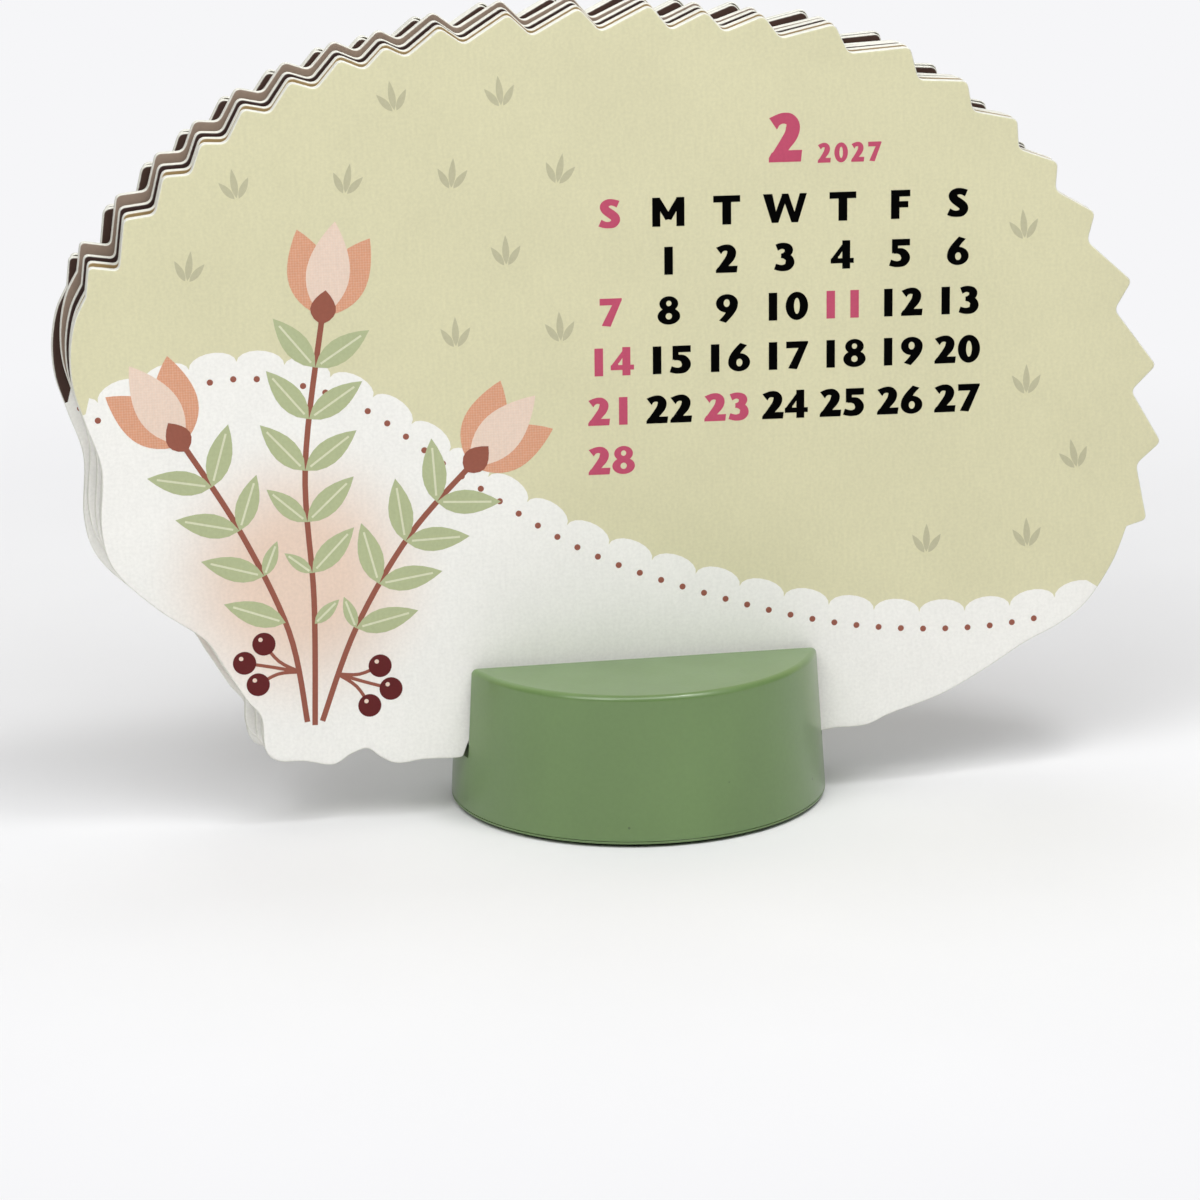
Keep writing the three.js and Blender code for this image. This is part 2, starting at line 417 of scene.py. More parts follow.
def ring(outer, inner):
    """The band between two ovals."""
    pairs = list(zip(outer, inner))
    return [[a[0], b[0], b[1], a[1]] for a, b in zip(pairs, pairs[1:])]


# Figures and letters of a heavy plain face
GLYPH_HEIGHT = 100
DIGIT_ADVANCE = 87


def bar(left, bottom, right, top):
    return [(left, bottom), (right, bottom), (right, top), (left, top)]


def glyph_shapes():
    zero = ring(oval(0, 50, 41, 51), oval(0, 50, 10.5, 29))
    eight = ring(oval(0, 74, 34, 27), oval(0, 75, 9.5, 10))
    eight += ring(oval(0, 29, 41, 30), oval(0, 29, 11.5, 11.5))
    six = ring(oval(0, 32, 40, 33), oval(1, 31, 11, 14)) + [
        [*spline([(-40, 33), (-36, 52), (-22, 74), (4, 102)], 6), *spline([(29, 93), (10, 73), (2, 60)], 6)]
    ]
    nine = [[(-x, 100 - y) for x, y in loop] for loop in six]
    shapes = {
        "0": zero,
        "1": [bar(-15.5, 0, 15.5, 100)],
        "2": ribbon([(-30, 79, 30), (-20, 86, 23), (-6, 90, 22), (9, 87, 26), (17, 74, 33),
                     (13, 56, 32), (-2, 36, 28), (-22, 10, 26)])
        + [[(-40, 0), (36, 0), (39, 24), (-8, 24), (-33, 20), (-40, 9)]],
        "3": ribbon([(-30, 84, 24), (-16, 89, 22), (-3, 89, 23), (10, 83, 28), (14, 73, 31),
                     (8, 61, 26), (-4, 55, 19), (-14, 54, 16)])
        + ribbon([(-14, 54, 16), (0, 52, 20), (14, 44, 28), (18, 29, 33), (10, 15, 28),
                  (-6, 10, 23), (-20, 11, 22), (-36, 16, 22)]),
        "4": [[(-44, 22), (-44, 34), (-17, 66), (-17, 22)],
              [(-44, 34), (9, 102), (24, 102), (-13, 47), (-17, 44)],
              bar(-44, 20, 40, 38), bar(-2, 0, 27, 102)],
        "5": [[(-31, 48), (-31, 100), (35, 100), (35, 76), (-9, 76), (-9, 60)]]
        + ribbon([(-26, 56, 17), (-8, 57, 21), (9, 51, 28), (19, 33, 33), (11, 16, 28),
                  (-6, 10, 22), (-22, 11, 22), (-38, 16, 23)]),
        "6": six,
        "7": [[(-39, 76), (-39, 100), (41, 100), (41, 92), (22, 76)],
              [(8, 80), (41, 100), (41, 94), (0, -1), (-32, 3)]],
        "8": eight,
        "9": nine,
        "S": ribbon([(29, 82, 25), (14, 88, 22), (-2, 89, 23), (-15, 82, 28), (-19, 72, 30), (-11, 60, 30),
                     (4, 49, 31), (17, 38, 31), (20, 27, 31), (12, 15, 27), (-4, 11, 22), (-20, 13, 23),
                     (-34, 19, 25)]),
        "M": [bar(-56, 0, -28, 100), bar(28, 0, 56, 100),
              [(-56, 100), (-30, 100), (14, 28), (-10, 22)], [(30, 100), (56, 100), (10, 22), (-14, 28)]],
        "T": [bar(-47, 77, 47, 100), bar(-15.5, 0, 15.5, 90)],
        "W": [[(-77, 100), (-44, 100), (-23, 0), (-46, 0)], [(-46, 0), (-23, 0), (12, 100), (-9, 100)],
              [(-12, 100), (12, 100), (46, 0), (23, 0)], [(23, 0), (46, 0), (77, 100), (52, 100)]],
        "F": [bar(-34, 0, -4, 100), bar(-20, 77, 34, 100), bar(-20, 39, 27, 61)],
    }
    return {key: united(loops) for key, loops in shapes.items()}


GLYPHS = glyph_shapes()

# How far inks reach into the board and stand proud of it. A shape's level multiplies INK_PROUD.
INK_SUNK = 0.03
INK_PROUD = 0.012
TEXT_PROUD = 0.02


class Print:
    """The inks on one face of a board, as thin solids on the face, one material for each ink."""

    def __init__(self, mirror):
        self.mirror = mirror  # for the picture, not for text
        self.verts, self.faces = [], []
        self.inks = []  # the place in order of each face's ink
        self.order = []
        self.layers = {}

    def draw(self, ink, loop, level=1):
        """A flat shape. Shapes of one ink and level become one solid, so none lies in another."""
        placed = [(-x, y) for x, y in loop] if self.mirror else loop
        self.layers.setdefault((ink, level), []).append(placed)

    def stroke(self, ink, path, steps, level=1):
        for quad in ribbon(path, steps):
            self.draw(ink, quad, level)

    def add(self, ink, points, triangles, boundary, top):
        """A thin solid, sunk a little into the board and top mm proud of it."""
        if ink not in self.order:
            self.order.append(ink)
        index = self.order.index(ink)
        base = len(self.verts)
        count = len(points)
        self.verts += [(x * MM, y * MM, top * MM) for x, y in points]
        self.verts += [(x * MM, y * MM, -INK_SUNK * MM) for x, y in points]
        new = [[base + i for i in t] for t in triangles]
        new += [[base + count + i for i in reversed(t)] for t in triangles]
        new += [[base + a, base + count + a, base + count + b, base + b] for a, b in boundary]
        self.faces += new
        self.inks += [index] * len(new)

    def text(self, ink, words, centre, height, width=1.0):
        """Figures set on one pitch, centred on x, standing on the line y, turned with the grid."""
        scale = height / GLYPH_HEIGHT
        for k, letter in enumerate(words):
            shift = (k - (len(words) - 1) / 2) * DIGIT_ADVANCE
            points, triangles, boundary = GLYPHS[letter]
            scaled = [((x * width + shift) * scale, y * scale) for x, y in points]
            placed = [turned(p, GRID_TURN, centre) for p in scaled]
            self.add(ink, placed, triangles, boundary, TEXT_PROUD)

    def build(self, name, materials):
        for (ink, level), loops in self.layers.items():
            self.add(ink, *united(loops), INK_PROUD * level)
        mesh = bpy.data.meshes.new(name)
        mesh.from_pydata(self.verts, [], self.faces)
        for ink in self.order:
            mesh.materials.append(materials[ink])
        mesh.polygons.foreach_set("material_index", self.inks)
        mesh.validate()
        return mesh


# The number grid, in the board's own frame
WEEKDAYS = "SMTWTFS"
GRID_TURN = -1.0
GRID_LEFT = (-3.1, 71.6)  # foot of the first weekday letter
COLUMN_PITCH = 7.83
HEADER_DROP = 6.43
ROW_PITCH = 6.63
LETTER_HEIGHT = 3.85
DAY_HEIGHT = 3.72
MONTH_HEIGHT = 6.45
MONTH_WIDTH = 0.88
MONTH_PLACE = (23.6, 8.05)  # from the first weekday letter
YEAR_HEIGHT = 2.6
YEAR_WIDTH = 0.86
YEAR_PLACE = (32.2, 7.8)
YEAR = 2027
MARKED_DAYS = {2: (11, 23)}
BACK_SHIFT = -40.8  # moves the grid onto the broad end of the board when it is seen from behind


def grid_point(across, up, shift):
    return turned((across, up), GRID_TURN, (GRID_LEFT[0] + shift, GRID_LEFT[1]))


def month_grid(sheet, month, ink, accent, shift):
    for column, letter in enumerate(WEEKDAYS):
        place = grid_point(column * COLUMN_PITCH, 0, shift)
        sheet.text(accent if column == 0 else ink, letter, place, LETTER_HEIGHT)
    first, days = calendar.monthrange(YEAR, month)
    start = (first + 1) % len(WEEKDAYS)  # the calendar module's weeks start on Monday
    for day in range(1, days + 1):
        row, column = divmod(start + day - 1, len(WEEKDAYS))
        special = column == 0 or day in MARKED_DAYS.get(month, ())
        place = grid_point(column * COLUMN_PITCH, -HEADER_DROP - row * ROW_PITCH, shift)
        sheet.text(accent if special else ink, str(day), place, DAY_HEIGHT)
    # A second figure of the month goes to the left.
    room = (len(str(month)) - 1) / 2 * DIGIT_ADVANCE * MONTH_HEIGHT / GLYPH_HEIGHT
    place = grid_point(MONTH_PLACE[0] - room, MONTH_PLACE[1], shift)
    sheet.text(accent, str(month), place, MONTH_HEIGHT, MONTH_WIDTH)
    sheet.text(accent, str(YEAR), grid_point(*YEAR_PLACE, shift), YEAR_HEIGHT, YEAR_WIDTH)


# Board outline and ground


def back_point(degrees):
    a = math.radians(degrees)
    bulge = [math.copysign(abs(v) ** (2 / BACK_FULLNESS), v) for v in (math.cos(a), math.sin(a))]
    return tuple(c + h * b for c, h, b in zip(BACK_CENTRE, BACK_HALF, bulge))


def back_corners():
    """The notches and tips of the back, in turn from the head end to the tail end."""
    sweep = BACK_TO - BACK_FROM
    samples = [back_point(BACK_FROM + sweep * i / ARC_DIVISIONS) for i in range(ARC_DIVISIONS + 1)]
    gone = distances(samples)
    corners = [samples[0]]
    done = 0.0
    for length in TOOTH_LENGTHS:
        done += length
        target = gone[-1] * done / sum(TOOTH_LENGTHS)
        to = samples[min(range(len(gone)), key=lambda i: abs(gone[i] - target))]
        start = corners[-1]
        way = (to[0] - start[0], to[1] - start[1])
        place = TIP_PLACE + TIP_PLACE_GROWTH * length
        rise = TOOTH_RISE * length / math.hypot(*way)
        tip = (start[0] + way[0] * place - way[1] * rise, start[1] + way[1] * place + way[0] * rise)
        corners += [tip, to]
    return corners


def rounded(before, corner, after):
    """A corner rounded off between its two neighbours."""
    ends = []
    for to in (before, after):
        share = min(CORNER_CUT / math.dist(to, corner), CORNER_CUT_MOST)
        ends.append(tuple(c + (t - c) * share for c, t in zip(corner, to)))
    out = []
    for i in range(CORNER_STEPS + 1):
        t = i / CORNER_STEPS
        out.append(tuple(
            (1 - t) ** 2 * a + 2 * t * (1 - t) * c + t * t * b for a, c, b in zip(ends[0], corner, ends[1])
        ))
    return out


def board_outline():
    """Anticlockwise seen from the front, from the foot round the tail, the back and the head."""
    tab = SLOT_HALF_LENGTH - TAB_INSET
    foot = [(tab, FOOT_HEIGHT), (-tab, FOOT_HEIGHT), (-tab - TAB_INSET / 2, TAB_LIFT)]
    head = spline([*FRONT_FEET, *HEAD_END], SPLINE_STEPS)
    tail = spline(TAIL_END, SPLINE_STEPS)
    corners = [head[-1], HEAD_TOOTH, *back_corners(), TAIL_TOOTH, tail[0]]
    back = [p for a, b, c in zip(corners, corners[1:], corners[2:]) for p in rounded(a, b, c)]
    loop = [*foot, *head, *back, *tail]
    clean = [p for p, q in sides(loop) if math.dist(p, q) > LEAST_STEP]
    return counter_clockwise(clean)


OUTLINE = board_outline()


def inward_normals(loop):
    normals = []
    for i, p in enumerate(loop):
        a, b = loop[i - 1], loop[(i + 1) % len(loop)]
        total = Vector((0, 0))
        for s, e in ((a, p), (p, b)):
            way = Vector(e) - Vector(s)
            total += Vector((-way.y, way.x)).normalized()
        normals.append(total.normalized())
    return normals


INWARD = inward_normals(OUTLINE)


def inset(distance):
    return [(p[0] + n.x * distance, p[1] + n.y * distance) for p, n in zip(OUTLINE, INWARD)]


# The line between the field above and the snow-white hill below: two soft slopes with a scalloped edge
HILL = (
    (-77.0, 49.5), (-66.0, 54.0), (-52.0, 56.5), (-38.0, 52.5), (-24.0, 42.0),
    (-8.0, 31.0), (10.0, 23.5), (28.0, 18.5), (46.0, 17.0), (63.0, 19.0),
)
HILL_STEPS = 10
SCALLOP_PITCH = 6.2
SCALLOP_HEIGHT = 1.7
SCALLOP_STEPS = 9


def along(path, pitch):
    """Points every pitch mm along a path, with both ends."""
    gone = distances(path)
    count = max(2, round(gone[-1] / pitch))
    out = []
    for k in range(count + 1):
        target = gone[-1] * k / count
        i = min(max(j for j in range(len(gone)) if gone[j] <= target + 1e-9), len(path) - 2)
        share = (target - gone[i]) / (gone[i + 1] - gone[i])
        out.append(tuple(a + (b - a) * share for a, b in zip(path[i], path[i + 1])))
    return out


def scalloped(path):
    """A row of shallow arches that stand on a path."""
    feet = along(path, SCALLOP_PITCH)
    out = []
    for a, b in zip(feet, feet[1:]):
        dx, dy = b[0] - a[0], b[1] - a[1]
        length = math.hypot(dx, dy)
        for i in range(SCALLOP_STEPS):
            turn = math.pi * i / SCALLOP_STEPS
            share = (1 - math.cos(turn)) / 2
            rise = SCALLOP_HEIGHT * math.sin(turn)
            out.append((a[0] + dx * share - dy / length * rise, a[1] + dy * share + dx / length * rise))
    return [*out, feet[-1]]


HILL_LINE = spline(HILL, HILL_STEPS)
HILL_EDGE = scalloped(HILL_LINE)


def nearest(point, side):
    """The index of the point of the face's edge nearest to one, on the left, -1, or on the right, 1."""
    return min((i for i, p in enumerate(FACE) if p[0] * side > 0), key=lambda i: math.dist(FACE[i], point))


def round_to(start, end):
    """The indices of the outline's points from one to another, anticlockwise."""
    if start <= end:
        return list(range(start, end + 1))
    return [*range(start, len(FACE)), *range(end + 1)]


FACE = inset(FACE_RINGS[0][0])  # the edge of the flat face, within the rounded rim
LEFT_END = nearest(HILL_EDGE[0], -1)
RIGHT_END = nearest(HILL_EDGE[-1], 1)
END_ROOM = 0.5  # from the face's edge to the first of the hill edge's points


def ground_zones():
    """The field above the hill's edge and the hill below it, as flat shapes."""
    low, high = FACE[LEFT_END][0] + END_ROOM, FACE[RIGHT_END][0] - END_ROOM
    middle = [p for p in HILL_EDGE[1:-1] if low < p[0] < high]
    field = [FACE[i] for i in round_to(RIGHT_END, LEFT_END)] + middle
    hill = [FACE[i] for i in round_to(LEFT_END, RIGHT_END)] + middle[::-1]
    return united([field]), united([hill])


GROUND_ZONES = ground_zones()

# A board's materials are the grounds of the front's two zones, the grounds of the back's, and the core.
BACK_SLOTS = 2
CORE_SLOT = 4
ROLL_OFF = 0.7  # how soon the shading turns towards the cut edge


def board_mesh(name, materials):
    verts, faces, slots, bare, normals = [], [], [], [], []

    def add_vertex(x, y, z, wear, normal):
        verts.append((x * MM, y * MM, z * MM))
        bare.append(wear)
        normals.append(Vector(normal).normalized())

    sections = [(i, -d, w, 1) for i, d, w in FACE_RINGS]
    sections += [(i, d - THICKNESS, w, -1) for i, d, w in reversed(FACE_RINGS)]
    for shift, z, wear, side in sections:
        tilt = (1 - wear) ** ROLL_OFF
        for (x, y), n in zip(inset(shift), INWARD):
            add_vertex(x, y, z, wear, (-n.x * (1 - tilt), -n.y * (1 - tilt), side * tilt))

    # The rims take the ground of their own face, and the middle of the edge is bare core.
    count = len(OUTLINE)
    rim_rings = len(FACE_RINGS) - 1
    in_field = set(round_to(RIGHT_END, LEFT_END)[:-1])
    for k in range(len(sections) - 1):
        a, b = k * count, (k + 1) * count
        for i in range(count):
            j = (i + 1) % count
            faces.append((a + i, b + i, b + j, a + j))
            zone = 0 if i in in_field else 1
            slots.append(CORE_SLOT if k == rim_rings else zone + (BACK_SLOTS if k > rim_rings else 0))

    for side, z, first_slot in ((1, 0, 0), (-1, -THICKNESS, BACK_SLOTS)):
        for zone, (points, triangles, _) in enumerate(GROUND_ZONES):
            base = len(verts)
            for x, y in points:
                add_vertex(x, y, z, 0.0, (0, 0, side))
            for t in triangles:
                faces.append(tuple(base + i for i in (t if side > 0 else reversed(t))))
                slots.append(first_slot + zone)

    mesh = bpy.data.meshes.new(name)
    mesh.from_pydata(verts, [], faces)
    for material in materials:
        mesh.materials.append(material)
    mesh.polygons.foreach_set("material_index", slots)
    attribute = mesh.attributes.new("bare", "FLOAT", "POINT")
    attribute.data.foreach_set("value", bare)
    mesh.polygons.foreach_set("use_smooth", [True] * len(faces))
    mesh.update()
    mesh.normals_split_custom_set_from_vertices(normals)
    return mesh


# Decoration: a bunch of stems with leaves, bell flowers and berries, and small marks on the field


def leaf(base, tip, width, steps=7):
    """A pointed leaf from base to tip, widest just before its middle."""
    dx, dy = tip[0] - base[0], tip[1] - base[1]
    length = math.hypot(dx, dy)
    nx, ny = -dy / length, dx / length
    left, right = [], []
    for i in range(steps + 1):
        t = i / steps
        half = width / 2 * math.sin(math.pi * t**0.85) ** 0.9
        x, y = base[0] + dx * t, base[1] + dy * t
        left.append((x + nx * half, y + ny * half))
        right.append((x - nx * half, y - ny * half))
    return [*left, *right[-2:0:-1]]


STEMS = (
    ((-45.5, 7.5), (-47.5, 20.0), (-53.5, 34.0), (-60.5, 46.0)),
    ((-44.5, 7.0), (-44.0, 24.0), (-44.5, 42.0), (-41.5, 62.0)),
    ((-43.5, 7.5), (-38.5, 20.0), (-31.0, 32.0), (-22.5, 41.0)),
)
STEM_WIDTH = 0.75
STEM_STEPS = 8
LEAF_GAP = 7.0
LEAF_LENGTH = 8.6
LEAF_LEAST = 3.2
LEAF_TRIM = 0.4
LEAF_SHAPE = 0.38  # width of a leaf, as a share of its length
LEAF_ANGLE = 48
LEAF_ROOM = 0.8  # from a leaf's tip to the next stem, as a share of its length
VEIN_WIDTH = 0.28
VEIN_PLACES = (0.1, 0.5, 0.85)  # as shares of the leaf's length
FLOWER_SIZE = 12.5
PETALS = (  # turn from the heading, length and width as shares of the flower's size, ink and level
    (-24, 0.95, 0.48, "peach", 2.5), (24, 0.95, 0.48, "peach", 2.5), (0, 1.0, 0.46, "blush", 3),
)
PETAL_STEPS = 14
CUP_BEHIND = 1.2
CUP_AHEAD = 3.4
CUP_WIDTH = 3.4
BERRY_TURNS = (44, None, -66)  # for each stem, from its heading
BERRIES = ((-27, 6.1), (2, 7.4), (29, 5.7))  # turn from the bunch's heading, and reach
BERRY_RADIUS = 1.55
BERRY_LIGHT_RADIUS = 0.3
BERRY_LIGHT_PLACE = (125, 0.75)  # direction and distance from the berry's middle
STALK_WIDTH = 0.45
STALK_FOOT_WIDTH = 0.5
STALK_BEND = 0.6  # share of the turn that a stalk has made half way


def leaf_length(foot, heading, others):
    """The longest leaf that keeps clear of the other stems, or 0 where there is no room."""
    size = LEAF_LENGTH
    while min(math.dist(polar(foot, heading, size), p) for p in others) < LEAF_ROOM * size:
        size -= LEAF_TRIM
        if size < LEAF_LEAST:
            return 0
    return size


def heading_of(a, b):
    return math.degrees(math.atan2(b[1] - a[1], b[0] - a[0]))


def stems(sheet):
    lines = [spline(path, STEM_STEPS) for path in STEMS]
    for k, line in enumerate(lines):
        others = [p for j, other in enumerate(lines) if j != k for p in other]
        sheet.stroke("brown", [(*p, STEM_WIDTH) for p in line], 0)
        spots = along(line, LEAF_GAP)
        berry_turn = BERRY_TURNS[k]
        for a, b in zip(spots[1:], spots[2:]):
            for side in (-1, 1):
                way = heading_of(a, b) + side * LEAF_ANGLE
                size = leaf_length(a, way, others)
                at_berries = a == spots[1] and berry_turn and side * berry_turn > 0
                if size == 0 or at_berries:
                    continue
                sheet.draw("sage", leaf(a, polar(a, way, size), size * LEAF_SHAPE), 1.5)
                sheet.stroke("vein", [(*polar(a, way, size * s), VEIN_WIDTH) for s in VEIN_PLACES], 3, 2)
        heading = heading_of(spots[-2], spots[-1])
        flower(sheet, spots[-1], heading)
        if berry_turn:
            berries(sheet, spots[1], heading + berry_turn)


def flower(sheet, base, heading):
    """A bell flower of three petals with a small calyx."""
    for turn, reach, wide, ink, level in PETALS:
        tip = polar(base, heading + turn, FLOWER_SIZE * reach)
        sheet.draw(ink, leaf(base, tip, FLOWER_SIZE * wide, PETAL_STEPS), level)
    cup_foot, cup_tip = polar(base, heading + 180, CUP_BEHIND), polar(base, heading, CUP_AHEAD)
    sheet.draw("brown", leaf(cup_foot, cup_tip, CUP_WIDTH), 3.5)


def berries(sheet, base, heading):
    """Three berries on short stalks, each with a small light."""
    for turn, reach in BERRIES:
        centre = polar(base, heading + turn, reach)
        bend = polar(base, heading + turn * STALK_BEND, reach / 2)
        stalk = [(*base, STALK_FOOT_WIDTH), (*bend, STALK_WIDTH), (*centre, STALK_WIDTH)]
        sheet.stroke("brown", stalk, 4)
        sheet.draw("dark_red", circle(centre, BERRY_RADIUS), 2)
        sheet.draw("blush", circle(polar(centre, *BERRY_LIGHT_PLACE), BERRY_LIGHT_RADIUS, 10), 3)


MARK_PITCH = (14.0, 10.5)
MARK_ORIGIN = (-3.0, 4.0)
MARK_ROWS = range(-1, 10)
MARK_COLUMNS = range(-6, 7)
MARK_MARGIN = 6.5  # from the outline
MARK_HILL_ROOM = 6.0
MARK_FLOWER_ROOM = 15.5
MARK_LENGTH = 4.4
MARK_FOOT = 0.5
MARK_WIDTH = 0.93
MARK_LEAVES = ((-34, 0.8), (0, 1.0), (34, 0.8))  # turn, and length as a share of MARK_LENGTH
MARK_LEAN = 14
TEXT_BOX = (-9.5, 51.5, 33.5, 91.5)  # left, right, bottom and top of the room for the numbers
DOT_PITCH = 3.1
DOT_DROP = 2.3
DOT_MARGIN = 1.6
DOT_RADIUS = 0.42
SEED = 11


def hill_height(x):
    for a, b in zip(HILL_LINE, HILL_LINE[1:]):
        if a[0] <= x <= b[0]:
            return a[1] + (b[1] - a[1]) * (x - a[0]) / (b[0] - a[0])
    return HILL_LINE[-1][1]


def well_inside(point, margin):
    """Whether a point is inside the outline and clear of its edge."""
    inside = False
    for a, b in sides(OUTLINE):
        if (a[1] > point[1]) != (b[1] > point[1]):
            if point[0] < a[0] + (b[0] - a[0]) * (point[1] - a[1]) / (b[1] - a[1]):
                inside = not inside
    return inside and all(math.dist(point, p) > margin for p in OUTLINE[::3])


def field_marks():
    """Places for the small sprouts on the field: a staggered lattice, clear of the numbers and the stems."""
    flowers = [path[-1] for path in STEMS]
    places = []
    for row in MARK_ROWS:
        for column in MARK_COLUMNS:
            x = (column + 0.5 * (row % 2)) * MARK_PITCH[0] + MARK_ORIGIN[0]
            y = row * MARK_PITCH[1] + MARK_ORIGIN[1]
            clear_text = not (TEXT_BOX[0] < x < TEXT_BOX[1] and TEXT_BOX[2] < y < TEXT_BOX[3])
            clear_flowers = all(math.dist((x, y), place) > MARK_FLOWER_ROOM for place in flowers)
            on_field = y > hill_height(x) + MARK_HILL_ROOM and well_inside((x, y), MARK_MARGIN)
            if clear_text and clear_flowers and on_field:
                places.append((x, y))
    return places


FIELD_MARKS = field_marks()


def decoration(sheet):
    draw = random.Random(SEED)
    for place in FIELD_MARKS:
        lean = draw.uniform(-MARK_LEAN, MARK_LEAN)
        for turn, size in MARK_LEAVES:
            foot = polar(place, 90 + lean + turn, MARK_FOOT)
            tip = polar(place, 90 + lean + turn, MARK_LENGTH * size)
            sheet.draw("mark", leaf(foot, tip, MARK_WIDTH))
    for x, y in along(HILL_LINE, DOT_PITCH)[1:-1]:
        dot = (x, y - DOT_DROP)
        if well_inside(dot, DOT_MARGIN):
            sheet.draw("brown", circle(dot, DOT_RADIUS, 12))
    stems(sheet)


# Boards


def board_matrix(i):
    """The board's own frame in the calendar's frame, as the solids are placed."""
    lean = math.radians(LEANS[i])
    turn = math.radians(TURNS[i])
    place = Vector((
        SLIPS[i],
        -SLOT_WIDTH / 2 + SLOT_CLEARANCE + i * PITCH,
        SLOT_FLOOR + SLOT_CLEARANCE - FOOT_HEIGHT + THICKNESS * math.sin(lean),
    ))
    lift = Matrix.Translation((0, SLOT_HALF_LENGTH * abs(math.sin(turn)) * MM, 0))
    return (
        Matrix.Translation(place * MM)
        @ Matrix.Rotation(math.pi / 2 - lean, 4, "X")
        @ lift
        @ Matrix.Rotation(turn, 4, "Z")
    )


def add_object(name, data, matrix=None):
    piece = bpy.data.objects.new(name, data)
    bpy.context.scene.collection.objects.link(piece)
    if matrix is not None:
        piece.matrix_world = matrix
    return piece


# For each board: the fields of its front and back, and the months printed on them. The front fields of
# boards 3 to 6 take the colours of the strips seen between the boards, shade included: print darkened by
# painted shade.
FIELDS_WITH_PAINTED_SHADE = (
    (CREAM, (196, 202, 172)),
    ((158, 132, 88), (206, 196, 160)),
    ((50, 28, 24), (172, 180, 146)),
    ((137, 119, 105), (214, 205, 176)),
    ((60, 38, 30), (188, 176, 140)),
    ((66, 62, 46), (208, 198, 170)),
)
MONTHS = ((2, 1), (3, 4), (5, 6), (7, 8), (9, 10), (11, 12))
DARK_FIELD = 140  # a field whose green is below this takes pale figures
DARK_GAIN = 0.87  # of the marks' colour on a light field
LIGHT_GAIN = 1.35  # of the marks' colour on a dark field
GLOW_PLACE = (-46.0, 27.0)
GLOW_RADIUS = 21.0
BLACK = (2, 2, 2)
PLAIN_INKS = {
    "pink": (188, 74, 104), "rose": (226, 150, 160), "pale": (232, 226, 200), "sage": (176, 184, 142),
    "vein": (212, 214, 184), "brown": (147, 84, 67), "dark_red": (92, 14, 16),
}
SCREENED_INKS = {"peach": (214, 152, 118), "blush": BLUSH}


def make_inks():
    inks = {"black": ink_material("ink_black", BLACK, roughness=0.8, specular=0.03)}
    for screened, colours in ((False, PLAIN_INKS), (True, SCREENED_INKS)):
        for name, colour in colours.items():
            inks[name] = ink_material(f"ink_{name}", colour, screened)
    return inks


def print_mesh(board, side, field, month, inks):
    """The picture and the month on one face. Their colours go with the field's."""
    dark = field[1] < DARK_FIELD
    back = side == "back"
    sheet = Print(mirror=back)
    decoration(sheet)
    ink, accent = ("pale", "rose") if dark else ("black", "pink")
    month_grid(sheet, month, ink, accent, BACK_SHIFT if back else 0.0)
    gain = LIGHT_GAIN if dark else DARK_GAIN
    mark = ink_material(f"ink_mark_{board}_{side}", tuple(min(255, c * gain) for c in field))
    return sheet.build(f"card_{board}_print_{side}", {**inks, "mark": mark})


def make_boards():
    inks = make_inks()
    core = core_material()
    hill_front = face_material("ground_hill_front", SNOW, (BLUSH, GLOW_PLACE, GLOW_RADIUS))
    hill_back = face_material("ground_hill_back", SNOW)
    flip = Matrix.Translation((0, 0, -THICKNESS * MM)) @ Matrix.Rotation(math.pi, 4, "Y")
    for i in range(len(LEANS)):
        node = f"card_{i + 1}"
        place = board_matrix(i)
        # The front fields of boards 3 to 6 hold painted shade as well as print
        front_field, back_field = FIELDS_WITH_PAINTED_SHADE[i]
        grounds = [
            face_material(f"ground_{i + 1}_front", front_field), hill_front,
            face_material(f"ground_{i + 1}_back", back_field), hill_back, core,
        ]
        board = add_object(f"{node}_board", board_mesh(f"{node}_board", grounds), place)
        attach(board, node)
        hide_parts(node)
        for side, field, month in zip(("front", "back"), FIELDS_WITH_PAINTED_SHADE[i], MONTHS[i]):
            mesh = print_mesh(i + 1, side, field, month, inks)
            piece = add_object(f"{node}_print_{side}", mesh, place @ flip if side == "back" else place)
            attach(piece, node)


# Stand
STAND_STEPS = 144
HOLLOW_STEPS = 96
EDGE_BEVEL = 0.22  # on the shell's edges that turn more than EDGE_ANGLE
EDGE_ANGLE = 35
CUT_SPARE = 2.0  # how far a cutter goes past the face that it cuts
HOLLOW_SPARE = 1.0


def add_turned(name, profile, steps=STAND_STEPS):
    """A closed solid of revolution from (radius, height) points that start and end on the axis."""
    verts = [(0.0, 0.0, profile[0][1] * MM)]
    rings = profile[1:-1]
    for r, z in rings:
        for k in range(steps):
            a = 2 * math.pi * k / steps
            verts.append((r * math.cos(a) * MM, r * math.sin(a) * MM, z * MM))
    verts.append((0.0, 0.0, profile[-1][1] * MM))
    top = len(verts) - 1
    faces = []
    for k in range(steps):
        n = (k + 1) % steps
        faces.append((0, 1 + n, 1 + k))
        for j in range(len(rings) - 1):
            a, b = 1 + j * steps, 1 + (j + 1) * steps
            faces.append((a + k, a + n, b + n, b + k))
        last = 1 + (len(rings) - 1) * steps
        faces.append((top, last + k, last + n))
    mesh = bpy.data.meshes.new(name)
    mesh.from_pydata(verts, [], faces)
    mesh.update()
    return add_object(name, mesh)


def fillet(centre_r, centre_z, radius, start, end, steps=3):
    """Points of a rounded edge in a profile, from one angle to another."""
    out = []
    for i in range(steps + 1):
        a = math.radians(start + (end - start) * i / steps)
        out.append((centre_r + radius * math.cos(a), centre_z + radius * math.sin(a)))
    return out


def low_edge(radius, z):
    """The rounded lower edge of a rim, in a profile."""
    return fillet(radius - EDGE_ROUND, z + EDGE_ROUND, EDGE_ROUND, -90, 0)


def outer_radius(z):
    return STAND_RADIUS - WALL_DRAFT * (z - SHELL_BOTTOM)


